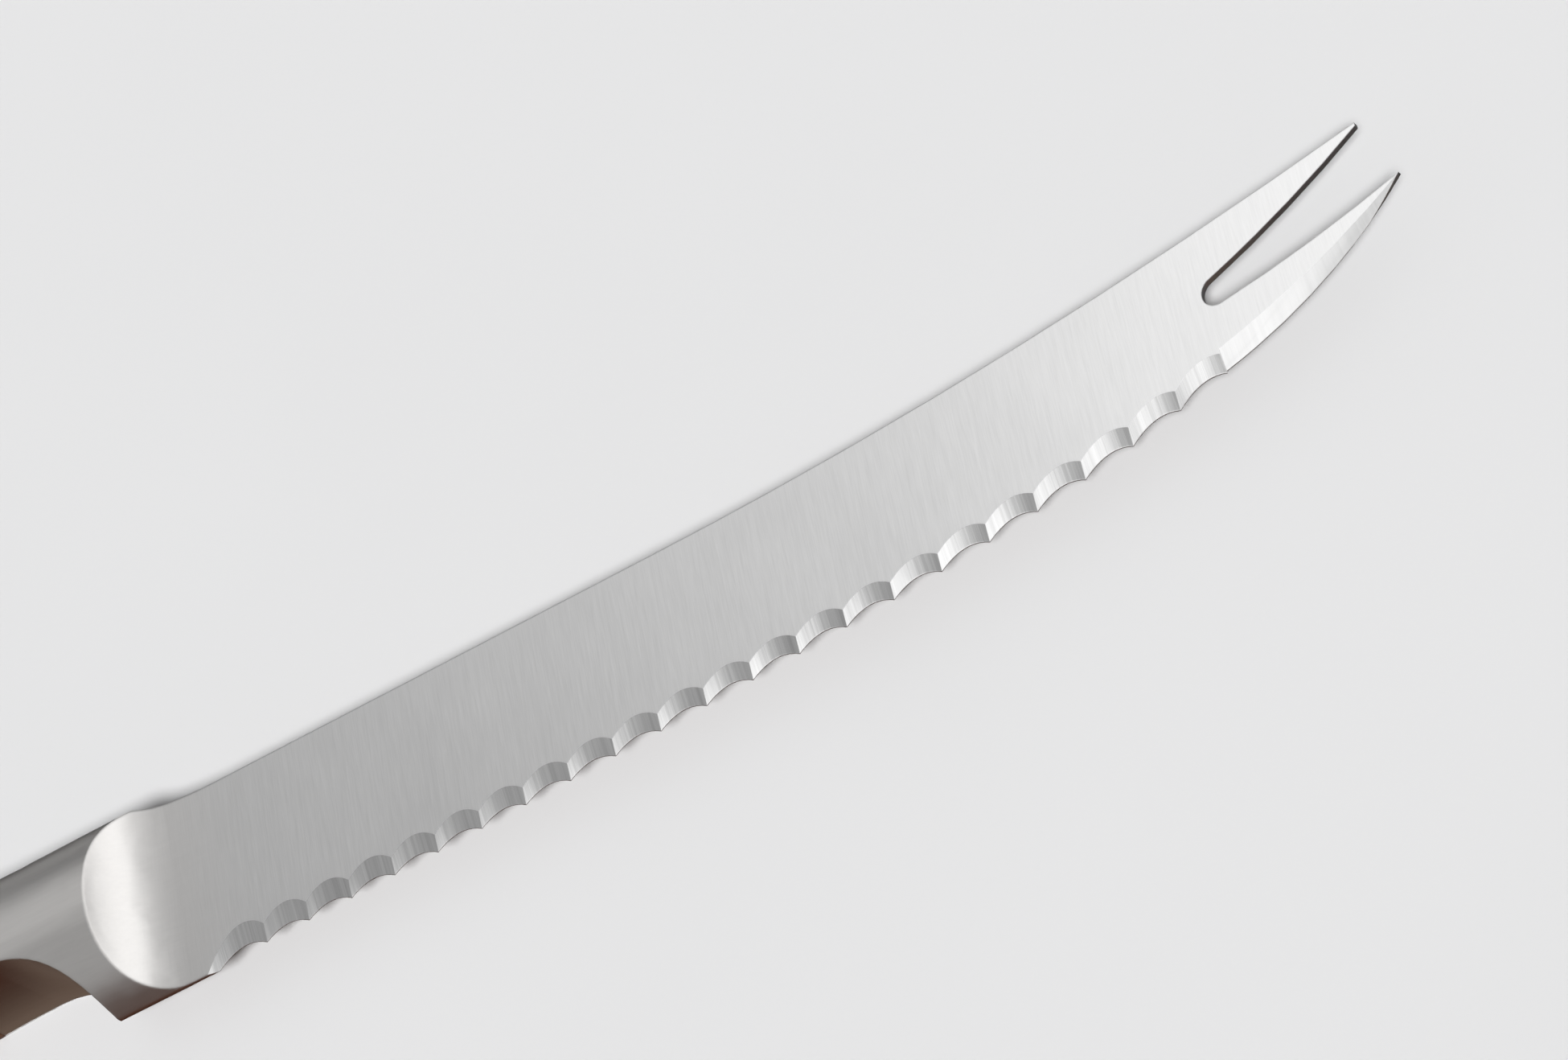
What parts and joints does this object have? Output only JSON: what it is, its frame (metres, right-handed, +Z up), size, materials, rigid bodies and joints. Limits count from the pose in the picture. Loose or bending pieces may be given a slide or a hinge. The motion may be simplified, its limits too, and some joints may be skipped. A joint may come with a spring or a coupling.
{
  "type": "tomato knife",
  "caption": "Tomato knife with a one-sided fluted edge, an up-swept forked tip, a forged bolster with a finger groove, and a full-tang handle with riveted wood scales.",
  "frame": {"origin": "on the flat of the lower (back) handle scale, halfway between the front rivet and the next one; the knife lies on that flat", "axes": "+X from the butt to the tip; +Y from the cutting edge to the spine; +Z up through the thickness, out of the side that the flutes are ground into"},
  "size_m": [0.2466, 0.0266, 0.0111],
  "materials": {
    "blade_steel": "brushed across the blade, polished on the bolster",
    "handle_wood": "dark brown hardwood, satin",
    "rivet_steel": "ground flush with the scales"
  },
  "bodies": {
    "root": {"blade_forging": "blade_steel", "front_scale": "handle_wood", "back_scale": "handle_wood", "front_rivet_pin": "rivet_steel", "middle_rivet_pin": "rivet_steel", "rear_rivet_pin": "rivet_steel", "front_rivet_sleeve": "rivet_steel", "middle_rivet_sleeve": "rivet_steel", "rear_rivet_sleeve": "rivet_steel"}
  },
  "joints": []
}
